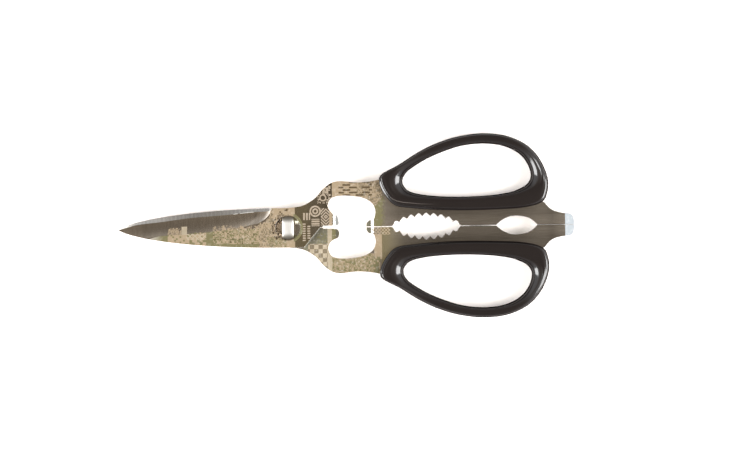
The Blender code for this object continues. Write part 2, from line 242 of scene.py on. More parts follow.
# ---------------------------------------------------------------- solids


def mesh_object(name, mesh):
    obj = bpy.data.objects.new(name, mesh)
    mesh.name = name
    bpy.context.scene.collection.objects.link(obj)
    return obj


def closed_body(name, points, faces):
    """An object from points in millimetres and faces, which it turns outwards."""
    mesh = bpy.data.meshes.new(name)
    mesh.from_pydata([(x * MM, y * MM, z * MM) for x, y, z in points], [], faces)
    shape = bmesh.new()
    shape.from_mesh(mesh)
    bmesh.ops.recalc_face_normals(shape, faces=shape.faces)
    shape.to_mesh(mesh)
    shape.free()
    return mesh_object(name, mesh)


def ring_faces(first, second, count):
    """The quads between two rings of points, given by the numbers of their first points."""
    return [(first + i, first + (i + 1) % count, second + (i + 1) % count, second + i) for i in range(count)]


def plate(name, outline, low, high):
    """A flat plate: the outline in XY, filled, between two heights."""
    count = len(outline)
    points = [(x, y, z) for z in (low, high) for x, y in outline]
    faces = [tuple(range(count)), tuple(range(count, 2 * count))] + ring_faces(0, count, count)
    return closed_body(name, points, faces)


def side_prism(name, profile, y_low=-FAR * 4, y_high=FAR * 4):
    """A prism along Y: the profile is in XZ."""
    obj = plate(name, profile, -y_high, -y_low)
    obj.data.transform(Matrix.Rotation(math.radians(90), 4, "X"))
    return obj


def turned(name, profile, segments=96):
    """A body turned about Z from a profile of (radius, height) points that starts and ends on the axis."""
    angles = [math.tau * i / segments for i in range(segments)]
    points = [(0, 0, profile[0][1])]
    for radius, height in profile[1:-1]:
        points += [(radius * math.cos(angle), radius * math.sin(angle), height) for angle in angles]
    points.append((0, 0, profile[-1][1]))
    last = len(points) - 1
    faces = []
    for first in range(1, last - segments, segments):
        faces += ring_faces(first, first + segments, segments)
    for centre, first in ((0, 1), (last, last - segments)):
        faces += [(centre, first + i, first + (i + 1) % segments) for i in range(segments)]
    return closed_body(name, points, faces)


def carve(obj, cutters, operation="DIFFERENCE"):
    """Cuts the cutters out of obj, or joins them to it, and removes them."""
    for cutter in cutters:
        modifier = obj.modifiers.new(cutter.name, "BOOLEAN")
        modifier.operation = operation
        modifier.solver = "EXACT"
        modifier.object = cutter
    graph = bpy.context.evaluated_depsgraph_get()
    mesh = bpy.data.meshes.new_from_object(obj.evaluated_get(graph))
    obj.modifiers.clear()
    obj.data = mesh
    for cutter in cutters:
        bpy.data.objects.remove(cutter)


def round_edges(obj, keep):
    """Bevels the sharp edges, except those that keep() names, and shades the rest smooth."""
    mesh = obj.data
    shape = bmesh.new()
    shape.from_mesh(mesh)
    bmesh.ops.remove_doubles(shape, verts=shape.verts, dist=2e-6)
    bmesh.ops.dissolve_degenerate(shape, edges=shape.edges, dist=2e-6)
    layers = shape.edges.layers.float
    weight = layers.get("bevel_weight_edge") or layers.new("bevel_weight_edge")
    for edge in shape.edges:
        angle = math.degrees(edge.calc_face_angle(0.0)) if len(edge.link_faces) == 2 else 0.0
        middle = (edge.verts[0].co + edge.verts[1].co) / 2 / MM
        bevelled = angle > ROUNDED_ANGLE and not keep(middle)
        edge[weight] = 1.0 if bevelled else 0.0
        edge.smooth = bevelled or angle < SMOOTH_ANGLE
    for face in shape.faces:
        face.smooth = True
    shape.to_mesh(mesh)
    shape.free()
    bevel = obj.modifiers.new("Rounded edges", "BEVEL")
    bevel.width = EDGE_ROUNDING * MM
    bevel.segments = 2
    bevel.limit_method = "WEIGHT"
    bevel.use_clamp_overlap = False
    bevel.harden_normals = True
    bevel.miter_outer = "MITER_ARC"


# ---------------------------------------------------------------- steel halves


def blade_half_width(x):
    return BLADE_HALF_WIDTH * (1 - min(max(x / TIP_X, 0), 1) ** BLADE_SHAPE) ** BLADE_ROUND


def blade_side(side):
    """One side of the blade, from the tip to the pivot: 1 is the serrated cutting edge, -1 the back."""
    near_tip = [TIP_X * math.cos(math.radians(3 * i)) for i in range(8)]
    count = int(-near_tip[-1] / (SERRATION_PITCH / 6))
    along = near_tip + [near_tip[-1] * (1 - i / count) for i in range(1, count)]
    wave = SERRATION_DEPTH if side > 0 else 0.0
    points = []
    for x in along:
        fade = ease((x - TIP_X) / SERRATION_FADE) * ease((SERRATION_END_X - x) / SERRATION_FADE)
        tooth = wave * fade * abs(math.sin(math.pi * x / SERRATION_PITCH))
        points.append((x, side * (blade_half_width(x) - tooth)))
    return points


def half_outline():
    """The front half's silhouette, counter-clockwise from the tip."""
    outer_edge = smooth(NECK) + smooth(TANG)[1:] + smooth(TAIL)
    return (
        blade_side(-1)
        + CROSSING
        + [(LENS[0][0], HALF_GAP), (LENS[-1][0], TAIL_GAP), (TAIL_X, TAIL_GAP)]
        + list(reversed(outer_edge))
        + list(reversed(blade_side(1)))[:-1]
    )


def top_relief():
    """What lies above the half: the neck's S-shaped slope, and the chisel at the tail."""
    start, end = SLOPE_X
    steps = 20
    profile = [(TIP_X - FAR, BLADE_HIGH)]
    for i in range(steps + 1):
        height = BLADE_HIGH + (ARM_HALF - BLADE_HIGH) * ease(i / steps)
        profile.append((start + (end - start) * i / steps, height))
    profile += [(CHISEL_X, ARM_HALF), (TAIL_X, CHISEL_HALF), (TAIL_X + FAR, CHISEL_HALF - 1)]
    profile += [(TAIL_X + FAR, FAR), (TIP_X - FAR, FAR)]
    return side_prism("top_relief", profile)


def arm_underside():
    """What lies below the arm and the other face of the chisel."""
    profile = [(TAIL_X + FAR, 1 - CHISEL_HALF), (TAIL_X, -CHISEL_HALF), (CHISEL_X, -ARM_HALF), (0, -ARM_HALF)]
    profile += [(0, -FAR), (TAIL_X + FAR, -FAR)]
    return side_prism("arm_underside", profile)


def blade_pocket():
    """The layer that belongs to the other blade, with a sloping shoulder."""
    pocket = plate("blade_pocket", SHOULDER + [(TIP_X - FAR, 30), (TIP_X - FAR, -30)], -FAR, BLADE_LOW)
    for vertex in pocket.data.vertices:
        vertex.co.x += SHOULDER_SLOPE * (BLADE_LOW * MM - vertex.co.z)
    return pocket


def grind_end(depth):
    """Where the grind ends along X: nearer to the pivot, the deeper it is."""
    across = min(max(depth / 2, 0), 1)
    return PLUNGE_X + PLUNGE_REACH * (1 - (1 - across) ** 4)


def grind_place(x, depth):
    """Y at this depth: 0 is the grind's start line, 1 the bevel's start line and 2 the cutting edge."""
    start, bevel = height_on(GRIND_START, x), height_on(BEVEL_START, x)
    edge = max(blade_half_width(x), bevel + 0.05)
    return start + (bevel - start) * depth if depth <= 1 else bevel + (edge - bevel) * (depth - 1)


def grind_height(x, depth):
    """Height of the ground surface, with the serrations' ridges and the runout up to the flat."""
    if depth < 0:
        return BLADE_HIGH - depth * 3
    if depth <= 1:
        z = BLADE_HIGH - (BLADE_HIGH - BEVEL_HIGH) * (1 - (1 - depth) ** 1.6)
    else:
        z = BEVEL_HIGH + (CUTTING_EDGE_HIGH - BEVEL_HIGH) * (depth - 1)
    if depth > 1.2:
        ridge = abs(math.sin(math.pi * x / SERRATION_PITCH))
        z -= RIDGE_HEIGHT * ridge * (depth - 1) * ease((-11 - x) / 4)
    runout = min(max(1 - (grind_end(depth) - x) / RUNOUT, 0), 1.2)
    return z + (BLADE_HIGH + 0.03 - z) * (0.4 * runout**1.4 + 0.6 * runout**14)


def grind():
    """What lies above the hollow grind and the cutting bevel, row by row from the tip to the plunge."""
    start_x = TIP_X - 2
    points = []
    for i in range(GRIND_ROWS + 1):
        for depth in GRIND_DEPTHS:
            x = start_x + (grind_end(depth) - start_x) * i / (GRIND_ROWS - 1)
            points.append((x, grind_place(x, depth), grind_height(x, depth)))
    return skin_cutter("grind", points, GRIND_ROWS + 1, len(GRIND_DEPTHS))


def skin_cutter(name, points, rows, columns):
    """A closed block whose underside is the given grid of points, row by row."""
    count = len(points)
    faces = []
    for i in range(rows - 1):
        for k in range(columns - 1):
            a = i * columns + k
            b = a + columns
            faces.append((a, a + 1, b + 1, b))
            faces.append((count + a, count + b, count + b + 1, count + a + 1))
    rim = [(0, k) for k in range(columns)] + [(i, columns - 1) for i in range(1, rows)]
    rim += [(rows - 1, k) for k in range(columns - 2, -1, -1)] + [(i, 0) for i in range(rows - 2, 0, -1)]
    rim = [i * columns + k for i, k in rim]
    for a, b in zip(rim, rim[1:] + rim[:1]):
        faces.append((b, a, count + a, count + b))
    return closed_body(name, points + [(x, y, FAR) for x, y, _ in points], faces)


def lifter_opening(nub):
    outline = nub[:1] + smooth(nub[1:] + LOBE + END_NUB[:-1], 6) + END_NUB[-1:]
    return plate("lifter_opening", outline, -FAR, FAR)


def lifter_lip():
    """The ramp that thins the nub to a lip."""
    profile = [(20.5, ARM_HALF + 0.1), (21.3, 0.8), (24.5, 0.6), (24.5, FAR), (20.5, FAR)]
    return side_prism("lifter_lip", profile, -1, 6.6)


def end_lip(side):
    """The step that thins the end nub on one face: 1 is the upper, -1 the lower."""
    profile = [(34, 0.4), (37.2, 0.45), (38.5, ARM_HALF + 0.05), (38.7, FAR), (34, FAR)]
    return side_prism("end_lip", [(x, side * z) for x, z in profile], -1, 3.5)


def serrated_opening():
    """A row of round scallops under one arch."""
    start, end = SERRATED_X
    pitch = (end - start) / SCALLOPS
    steps = 12
    outline = [(start - 0.8, -1.0)]
    for i in range(SCALLOPS * steps + 1):
        x = start + pitch * i / steps
        along = min(abs(x - SERRATED_MIDDLE) / SERRATED_REACH, 1)
        across = abs(2 * (i % steps) / steps - 1)
        outline.append((x, SERRATED_HEIGHT * (1 - along**2) ** 0.82 + SCALLOP_DEPTH * (1 - across**1.35)))
    outline.append((end + 0.5, -1.0))
    return plate("serrated_opening", outline, -FAR, FAR)


def lens_opening():
    return plate("lens_opening", smooth(LENS), -FAR, FAR)


def slotted_disc(radius, ear_radius, ear_half_width, angle):
    """A disc with two opposite ears: the outline that the stud's head and the keyhole share."""
    ear = math.degrees(math.asin(ear_half_width / ear_radius))
    root = math.degrees(math.asin(min(ear_half_width / radius, 1)))
    outline = []
    for half_turn in (angle, angle + 180):
        outline += arc(ear_radius, half_turn - ear, half_turn + ear, 16)
        if root < 89:
            outline += arc(radius, half_turn + root, half_turn + 180 - root, 16)
    return outline


def is_cutting_edge(middle):
    """The edges on the bevel and the serrations stay sharp."""
    return middle.x < -7 and middle.y > blade_half_width(middle.x) - 0.8


def steel_half(name, nub, lip_side, pivot_cutters):
    """One blade with its arm and tang, drawn as the front half."""
    half = plate(name, half_outline(), -ARM_HALF - 1, BLADE_HIGH + 1)
    cutters = [
        top_relief(),
        arm_underside(),
        blade_pocket(),
        grind(),
        lifter_opening(nub),
        lifter_lip(),
        end_lip(lip_side),
        serrated_opening(),
        lens_opening(),
    ]
    carve(half, cutters + pivot_cutters)
    round_edges(half, is_cutting_edge)
    return half


def front_half():
    rim = RECESS_RADIUS + RECESS_CHAMFER
    profile = [(0, FAR), (rim, FAR), (rim, BLADE_HIGH + 0.2)]
    profile += [(RECESS_RADIUS, BLADE_HIGH - 0.3), (RECESS_RADIUS, RECESS_FLOOR), (0, RECESS_FLOOR)]
    recess = turned("recess", profile)
    outline = slotted_disc(KEYHOLE_RADIUS, EAR_RADIUS, EAR_HALF_WIDTH, EAR_ANGLE)
    keyhole = plate("keyhole", outline, -FAR, FAR / 2)
    return steel_half("front_half_steel", UPPER_NUB, 1, [recess, keyhole])


def back_half():
    """Drawn like the front half, then turned over about X."""
    profile = [(0, FAR), (RIVET_SINK_RADIUS, FAR), (RIVET_SINK_RADIUS, RIVET_SINK_FLOOR)]
    profile += [(RIVET_HOLE_RADIUS, RIVET_SINK_FLOOR), (RIVET_HOLE_RADIUS, -FAR), (0, -FAR)]
    half = steel_half("back_half_steel", LOWER_NUB, -1, [turned("rivet_hole", profile)])
    half.data.transform(Matrix.Rotation(math.pi, 4, "X"))
    return half


def head_height(x, y):
    """The head is crowned across and slopes down at its two ends."""
    across = HEAD_CROWN * (x / HEAD_HALF_WIDTH) ** 2
    end = max((abs(y) - HEAD_LEVEL_HALF) / (HEAD_RADIUS - HEAD_LEVEL_HALF), 0)
    return HEAD_HIGH - across - HEAD_END_DROP * end**1.6


def bar_head():
    """The head: rings of points round its top, then its straight side and its flat underside."""
    outline = slotted_disc(HEAD_HALF_WIDTH, HEAD_RADIUS, HEAD_HALF_WIDTH, HEAD_ANGLE)
    dense = []
    for (x0, y0), (x1, y1) in zip(outline, outline[1:] + outline[:1]):
        count = max(int(math.dist((x0, y0), (x1, y1)) / 0.25), 1)
        dense += [(x0 + (x1 - x0) * i / count, y0 + (y1 - y0) * i / count) for i in range(count)]
    # Each ring is a share of the outline, and the last three drop to round the rim.
    rings = [(i / 10, 0) for i in range(1, 10)] + [(0.94, 0.03), (0.975, 0.12), (1, 0.3)]
    count = len(dense)
    points = [(0, 0, head_height(0, 0))]
    for share, drop in rings:
        points += [(x * share, y * share, head_height(x * share, y * share) - drop) for x, y in dense]
    points += [(x, y, HEAD_LOW) for x, y in dense]
    underside = len(points) - count
    faces = [(0, 1 + i, 1 + (i + 1) % count) for i in range(count)]
    for first in range(1, underside, count):
        faces += ring_faces(first, first + count, count)
    faces.append(tuple(range(underside, underside + count)))
    return closed_body("bar_head", points, faces)


def pivot_stud():
    """A neck, a post and a shank with its riveted end, turned, with the bar head joined on top."""
    profile = [(0, 1.9), (2.0, 1.9), (2.2, 0.9), (POST_RADIUS, 0.7), (POST_RADIUS, 0.2)]
    profile += [(SHANK_RADIUS, 0.2), (SHANK_RADIUS, -1.7), (RIVET_RADIUS, -1.7), (RIVET_RADIUS, -2.3)]
    profile += [(4.0, -2.52), (3.0, -2.6), (0, -2.62)]
    stud = turned("pivot_stud_steel", profile)
    carve(stud, [bar_head()], "UNION")
    stud.data.shade_smooth()
    stud.data.set_sharp_from_angle(angle=math.radians(40))
    return stud


# ---------------------------------------------------------------- grips


def outer_rounding(x):
    """The outer rim is rounder at the tail end."""
    return GRIP_ROUNDING + 0.6 * ease((x - 106) / 10)


def inner_rounding(x):
    """The rim of the finger opening is rounder at its two ends, most of all at the front one."""
    return GRIP_ROUNDING + (4.3 if x < 80 else 2.9) * ((x - 80) / 29) ** 4


def grip_top(outer, inner, chamfer):
    """(inset, height) points over the top of one section, from its outer edge to its inner edge."""
    width = math.dist(outer, inner)
    rounding = inner_rounding(inner[0])
    steps = len(CHAMFER) - 1
    shoulder = GRIP_HALF - GRIP_CROWN
    points = []
    for step, (flat_inset, flat_height) in enumerate(CHAMFER):
        angle = math.pi / 2 * step / steps
        round_inset = outer_rounding(outer[0]) * (1 - max(math.cos(angle), 0) ** 0.9)
        round_height = shoulder * math.sin(angle) ** 0.9
        points.append(
            (
                round_inset + (flat_inset - round_inset) * chamfer,
                round_height + (flat_height - round_height) * chamfer,
            )
        )
    start, end = points[-1][0], width - rounding
    for step in range(1, 8):
        t = step / 8
        points.append((start + (end - start) * t, shoulder + GRIP_CROWN * 4 * t * (1 - t)))
    for step in range(9):
        angle = math.pi / 2 * (1 - step / 8)
        points.append((width - rounding * (1 - math.cos(angle)), shoulder * math.sin(angle)))
    return points


def grip_sections():
    """The band's sections: a chamfered rim along the steel, and a round one elsewhere."""
    outer = smooth_loop(GRIP_OUTER, GRIP_STEPS)
    inner = smooth_loop(GRIP_INNER, GRIP_STEPS)
    beside_steel = 12 * GRIP_STEPS
    sections = []
    for i, (a, b) in enumerate(zip(outer, inner)):
        along_steel = ease((i - beside_steel) / GRIP_STEPS) + (1 - ease(i / GRIP_STEPS))
        chamfer = min(along_steel, 1) * (0.25 + 0.75 * ease((78 - a[0]) / 20))
        width = math.dist(a, b)
        direction = ((b[0] - a[0]) / width, (b[1] - a[1]) / width)
        top = [(a[0] + direction[0] * s, a[1] + direction[1] * s, z) for s, z in grip_top(a, b, chamfer)]
        below = [(x, y, -z) for x, y, z in reversed(top[1:-1])]
        sections.append(top + below)
    return sections


def grip(name, turn):
    """The moulded loop through its sections, turned about X: by 0 for the upper grip, pi for the lower."""
    sections = grip_sections()
    count, size = len(sections), len(sections[0])
    points = [point for section in sections for point in section]
    faces = []
    for i in range(count):
        faces += ring_faces(i * size, (i + 1) % count * size, size)
    band = closed_body(name, points, faces)
    band.data.shade_smooth()
    band.data.transform(Matrix.Rotation(turn, 4, "X"))
    return band


# ---------------------------------------------------------------- shader fields


class Field:
    """A number that varies over a surface: arithmetic on fields adds math nodes to their tree."""

    def __init__(self, tree, socket):
        self.tree = tree
        self.socket = socket

    def math(self, operation, *others):
        node = self.tree.nodes.new("ShaderNodeMath")
        node.operation = operation
        for socket, value in zip(node.inputs, (self, *others)):
            feed(self.tree, socket, value)
        return Field(self.tree, node.outputs[0])

    def __add__(self, other):
        return self.math("ADD", other)

    def __sub__(self, other):
        return self.math("SUBTRACT", other)

    def __mul__(self, other):
        return self.math("MULTIPLY", other)

    def __truediv__(self, other):
        return self.math("DIVIDE", other)

    def __abs__(self):
        return self.math("ABSOLUTE")

    def above(self, edge):
        return self.math("GREATER_THAN", edge)

    def below(self, edge):
        return self.math("LESS_THAN", edge)

    def within(self, low, high):
        return self.above(low) * self.below(high)

    def either(self, other):
        return self.math("MAXIMUM", other)

    def rise(self, low, high):
        """0 up to low, 1 from high on, and smooth between them."""
        node = self.tree.nodes.new("ShaderNodeMapRange")
        node.interpolation_type = "SMOOTHSTEP"
        feed(self.tree, node.inputs[0], self)
        node.inputs[1].default_value = low
        node.inputs[2].default_value = high
        return Field(self.tree, node.outputs[0])

    def cell(self, pitch):
        """The number of the grid cell that the value is in."""
        return (self / pitch).math("FLOOR")

    def along_cell(self, pitch):
        """How far from the middle of its cell the value is, from -0.5 to 0.5."""
        return (self / pitch).math("FRACT") - 0.5

    def curve(self, points):
        """The height of the line through the points, at this value."""
        xs, ys = zip(*points)
        reach, rise = xs[-1] - xs[0], max(ys) - min(ys)
        node = self.tree.nodes.new("ShaderNodeFloatCurve")
        line = node.mapping.curves[0]
        places = [((x - xs[0]) / reach, (y - min(ys)) / rise) for x, y in points]
        line.points[0].location = places[0]
        line.points[1].location = places[-1]
        for place in places[1:-1]:
            line.points.new(*place)
        for point in line.points:
            point.handle_type = "VECTOR"
        node.mapping.update()
        feed(self.tree, node.inputs["Value"], (self - xs[0]) / reach)
        return Field(self.tree, node.outputs[0]) * rise + min(ys)


def feed(tree, socket, value):
    """Gives a socket a field, a colour or a number."""
    if isinstance(value, Field):
        tree.links.new(value.socket, socket)
    elif isinstance(value, tuple):
        socket.default_value = (*value, 1)
    else:
        socket.default_value = value


def mix(tree, share, first, second):
    """A colour between the two."""
    node = tree.nodes.new("ShaderNodeMix")
    node.data_type = "RGBA"
    feed(tree, node.inputs[0], share)
    feed(tree, node.inputs[6], first)
    feed(tree, node.inputs[7], second)
    return Field(tree, node.outputs[2])


def blend(share, first, second):
    """A number between the two."""
    return (share * -1 + 1) * first + share * second


def vector(tree, x, y, z):
    node = tree.nodes.new("ShaderNodeCombineXYZ")
    for socket, value in zip(node.inputs, (x, y, z)):
        feed(tree, socket, value)
    return Field(tree, node.outputs[0])


def split(tree, socket):
    node = tree.nodes.new("ShaderNodeSeparateXYZ")
    tree.links.new(socket, node.inputs[0])
    return [Field(tree, output) for output in node.outputs]


def noise(x, y, z, detail=3.0):
    node = x.tree.nodes.new("ShaderNodeTexNoise")
    feed(x.tree, node.inputs["Vector"], vector(x.tree, x, y, z))
    node.inputs["Scale"].default_value = 1.0
    node.inputs["Detail"].default_value = detail
    return Field(x.tree, node.outputs[0])


def chance(x, y, seed):
    """A random number for each pair of cell numbers."""
    node = x.tree.nodes.new("ShaderNodeTexWhiteNoise")
    feed(x.tree, node.inputs["Vector"], vector(x.tree, x, y, seed))
    return Field(x.tree, node.outputs["Value"])


def new_material(name):
    """A material, its tree and shader, the place in millimetres, and how far the surface faces up."""
    made = bpy.data.materials.new(name)
    made.use_nodes = True
    tree = made.node_tree
    coordinates = tree.nodes.new("ShaderNodeTexCoord")
    place = [axis * 1000 for axis in split(tree, coordinates.outputs["Object"])]
    up = split(tree, tree.nodes.new("ShaderNodeNewGeometry").outputs["True Normal"])[2]
    return made, tree, tree.nodes["Principled BSDF"], place, up


def bump(tree, shader, height, distance):
    node = tree.nodes.new("ShaderNodeBump")
    node.inputs["Distance"].default_value = distance * MM
    feed(tree, node.inputs["Height"], height)
    tree.links.new(node.outputs[0], shader.inputs["Normal"])


# ---------------------------------------------------------------- printed pattern

# Colours of the print, and of painted highlights and painted sheen.
SAND = (0.212, 0.162, 0.104)
PALE_SAND = (0.24, 0.2, 0.14)
DARK_SAND = (0.108, 0.084, 0.052)
OLIVE = (0.102, 0.09, 0.043)
DARK_OLIVE = (0.068, 0.057, 0.028)
UMBER = (0.055, 0.037, 0.018)
DARK_UMBER = (0.022, 0.012, 0.004)
GREY_GREEN = (0.095, 0.087, 0.06)
MOTIF = (0.222, 0.178, 0.13)
LIP_GREY = (0.19, 0.195, 0.185)
CHISEL_SHEEN = (0.246, 0.268, 0.284)
EDGE_LIGHT = (0.17, 0.165, 0.15)
CREASE_LIGHT = (0.35, 0.335, 0.305)
STUD_HIGHLIGHT = (0.8, 0.75, 0.62)
BRIGHT_SAND = (0.55, 0.43, 0.3)
# Tints of the bare steel.
BRONZE = (0.54, 0.485, 0.34)
DARK_BRONZE = (0.34, 0.305, 0.24)
OLIVE_STEEL = (0.50, 0.44, 0.27)

# Upper limits of the printed layers on the blade: Y along X.
SAND_LIMIT = [(-80, -3), (-54.2, -1.6), (-53.5, 0.6), (-49, 0.5), (-45, -2.2), (-36, -1.8), (0, -1.8)]
OLIVE_LIMIT = [
    (-64, -4.6), (-58, -3.1), (-52, -2.7), (-45, -2.2), (-37, -1.7), (-32, -1.0), (-27, -0.5), (0, 0),
]
FLECK_LIMIT = [
    (-34, 0.9), (-26, 0.9), (-24.5, 0.0), (-21.5, 0.7), (-13, 1.6), (-9.4, 3.6), (-8.0, 6.2), (-7.4, 12),
]
# The share of sand crumbs along X.
SAND_SHARE = [(-34, 0.45), (-15, 0.6), (-9, 0.9), (-6, 1.0), (4, 1.0)]
# Where the sand ends on the upper arm: X along Y.
ARM_LIMIT = [(8, 38.0), (10.5, 40.5), (13, 42.4), (17, 42.6), (21, 41.8), (24, 41.0)]

# Where the ground blade ends along X, and the two ends of the blade's printed fields.
BLADE_END_X = -7.2
FLECK_FIELD = (-33.7, 3.2)
TIP_FIELD = (-54.1, -36.8)

# Places of the pattern's parts: (left, right, low, high).
TIP_BLOCK = (-47.9, -45.4, -2.6, 1.1)
TIP_LATTICE = (-45.4, -36.8, -5.0, -2.2)
PIVOT_FIELD = (-6.6, 3.2, -10, 10)
PIVOT_FLECKS = (-9.5, -0.6, -10, -4)
PIVOT_CRUMBS = (-4.0, 0.4, 5.6, 8.6)
# Where the painted highlight right of the stud goes.
STUD_HIGHLIGHT_BOX = (3.2, 4.7, 1.4, 3.1)
NECK_FIELD = (3.2, 20.0, -10, 22)
NECK_BLOCKS = (6.6, 10.1, 3.4, 6.6)
LEFT_LADDER = (6.7, 8.0, -6.0, 2.0)
RIGHT_LADDER = (8.8, 10.1, -5.2, 1.2)
NECK_STRIPES = (10.7, 14.3, 0.6, 3.9)
NECK_DIAMONDS = (14.9, 20.0, 0.8, 8.6)
NECK_CLUSTER = (13.4, 19.4, 10.8, 18.8)
UPPER_NUB_FIELD = (18.7, 20.0, 0.5, 8.3)
UPPER_LIP = (21.3, 24.0, 0.5, 6.0)
LOWER_NECK_FLECKS = (13.0, 18.2, -7.4, -2.5)
CHECKERBOARD = (9.0, 17.8, -17.5, -7.4)
LOWER_NUB_EDGE = (17.8, 19.8, -22, -0.3)
LOWER_NUB_FIELD = (19.8, 21.5, -6.5, -0.3)
LOWER_LIP = (21.5, 23.5, -6.5, -0.3)
LOWER_ARM_FIELD = (19.8, 38.6, -22, -12)
LOWER_ARM_END = (38.8, 42.3, -14.5, -3.5)
LOWER_ARM_CORNER = (38.4, 41.4, -22, -13.5)
LOWER_LATTICE = (38.2, 46.0, -3.6, -0.3)
END_NUB_FIELD = (34.0, 37.4, -3.3, 3.3)

# The crossing's line: x - y * CROSSING_LEAN is CROSSING_X on it.
CROSSING_LEAN = 0.816
CROSSING_X = 14.48


class Coat:
    """The colour of a surface and how far it is printed, painted layer by layer."""

    def __init__(self, tree, colour, area):
        self.tree = tree
        self.colour = colour
        self.area = area
        self.printed = 0.0

    def paint(self, where, colour, printed=1.0):
        where = where * self.area
        self.colour = mix(self.tree, where, self.colour, colour)
        self.printed = blend(where, self.printed, printed)


def box(x, y, left, right, low, high):
    return x.within(left, right) * y.within(low, high)


def crumbs(x, y, pitch, share, seed):
    """Square crumbs that fill a share of the cells."""
    return chance(x.cell(pitch), y.cell(pitch), seed).below(share)


def flecks(x, y, pitch, share, seed):
    """Crumbs with smaller crumbs cut out of them and added round them."""
    large = crumbs(x, y, pitch, share, seed)
    small = crumbs(x + pitch / 3, y + pitch / 4, pitch / 2, 0.3, seed + 1)
    return abs(large - small)


def checkers(x, y, pitch):
    return ((x.cell(pitch) + y.cell(pitch)) / 2).math("FRACT").above(0.25)


def dashes(x, y, length, height):
    """Rows of dashes, each row moved along by one dash; a few are left out."""
    row = y.cell(height)
    moved = x + row * (length / 2)
    kept = chance(moved.cell(length), row, 3.0).below(0.92)
    return abs(moved.along_cell(length)).below(0.3) * abs(y.along_cell(height)).below(0.34) * kept


def circle(x, y, centre_x, centre_y, radius, width):
    across, up = x - centre_x, y - centre_y
    distance = (across * across + up * up).math("SQRT")
    return abs(distance - radius).below(width / 2)


def rings(x, y, pitch, radius, width):
    return circle(x.along_cell(pitch) * pitch, y.along_cell(pitch) * pitch, 0, 0, radius, width)


def lattice(x, y, pitch, width):
    """Crossed diagonal lines."""
    share = width / pitch / 2
    return abs((x + y).along_cell(pitch)).below(share).either(abs((x - y).along_cell(pitch)).below(share))


def bars(x, pitch, width):
    return abs(x.along_cell(pitch)).below(width / pitch / 2)


def paint_blade(coat, x, y):
    """Olive along the grind, sand flecks towards the pivot, and the field near the tip."""
    ragged = y + chance(x.cell(0.75), x.cell(0.75), 5.0) * 1.4 - 0.7
    coat.paint(y.below(x.curve(OLIVE_LIMIT)) * x.rise(-65, -56) * x.below(-8), OLIVE)
    printed = ragged.below(x.curve(FLECK_LIMIT)) * x.within(*FLECK_FIELD)
    printed = printed * y.above(-7.0).either(x.above(-13.0))
    coat.paint(printed * y.below(0) * crumbs(x, y, 0.65, 0.16, 12.0) * x.below(-14), DARK_OLIVE)
    coat.paint(printed * x.above(-13.0), DARK_SAND)
    share = x.curve(SAND_SHARE) + chance(x.cell(2.7), y.cell(2.7), 13.0) * 0.5 - 0.25
    coat.paint(printed * flecks(x, y, 1.1, share, 11.0), SAND)
    # A sand field near the tip, with a block, rings and a lattice.
    field = ragged.below(x.curve(SAND_LIMIT)) * x.within(*TIP_FIELD)
    ornament = rings(x + 0.5, y + 0.2, 2.1, 0.62, 0.55).either(flecks(x, y, 0.6, 0.3, 14.0))
    coat.paint(field * y.above(-2.6) * x.below(-48) * ornament, SAND)
    coat.paint(field * y.below(-2.6).either(x.above(-46)), SAND)
    coat.paint(box(x, y, *TIP_BLOCK), PALE_SAND)
    coat.paint(field * y.below(-2.6) * crumbs(x, y, 0.8, 0.12, 15.0), OLIVE)
    coat.paint(field * x.above(-45.4) * crumbs(x, y, 1.2, 0.3, 16.0), OLIVE)
    coat.paint(box(x, y, *TIP_LATTICE) * lattice(x, y, 2.2, 0.7), PALE_SAND)


def paint_pivot(coat, x, y):
    """Sand round the recess, with flecks below it, crumbs above it and olive on its right."""
    distance = (x * x + y * y).math("SQRT")
    coat.paint(box(x, y, *PIVOT_FIELD), SAND)
    coat.paint(box(x, y, *PIVOT_FLECKS) * flecks(x, y, 0.8, 0.35, 22.0), OLIVE)
    coat.paint(box(x, y, *PIVOT_CRUMBS) * crumbs(x, y, 0.75, 0.2, 23.0), UMBER)
    coat.paint(distance.below(6.9) * x.above(2.6), OLIVE)


def paint_stud_marks(coat, x, y):
    """Dark and pale crumbs left of the stud and a painted highlight right of it, on both halves."""
    distance = (x * x + y * y).math("SQRT")
    left = x.below(-2.0) * y.within(-5.2, 5.8)
    coat.paint(left * distance.below(7.3) * flecks(x, y, 0.9, 0.62, 24.0), DARK_UMBER)
    coat.paint(left * distance.below(5.4), BRIGHT_SAND)
    coat.paint(left * distance.below(5.4) * flecks(x, y, 0.8, 0.35, 26.0), DARK_UMBER)
    # A painted highlight: a bright patch where the recess's rim catches the light.
    coat.paint(box(x, y, *STUD_HIGHLIGHT_BOX), STUD_HIGHLIGHT)


def paint_neck(coat, x, y):
    """The dark neck of the front half, outside the recess's rim, with plain pale shapes on it."""
    neck = box(x, y, *NECK_FIELD) * (x * x + y * y).above(47.0)
    coat.paint(neck, BRONZE, 0.0)
    coat.paint(neck * x.rise(7.0, 12.0), DARK_BRONZE, 0.0)
    motifs = [
        box(x, y, *NECK_BLOCKS) * bars(x - 0.2, 1.3, 0.8),
        box(x, y, *LEFT_LADDER).either(box(x, y, *RIGHT_LADDER)) * bars(y, 1.05, 0.6),
        circle(x, y, 12.4, 7.3, 2.2, 0.7),
        circle(x, y, 12.4, 7.3, 1.0, 0.7),
        box(x, y, *NECK_STRIPES) * bars(y, 1.1, 0.75),
        box(x, y, *NECK_DIAMONDS) * bars(abs(x - 17.2) + abs(y - 4.8), 1.35, 0.75),
        box(x, y, *NECK_CLUSTER) * flecks(x, y, 1.15, 0.4, 32.0),
        circle(x, y, 15.9, 13.3, 1.3, 0.6),
        circle(x, y, 17.2, 16.7, 1.0, 0.6),
    ]
    shapes = motifs[0]
    for motif in motifs[1:]:
        shapes = shapes.either(motif)
    coat.paint(shapes * neck, MOTIF)


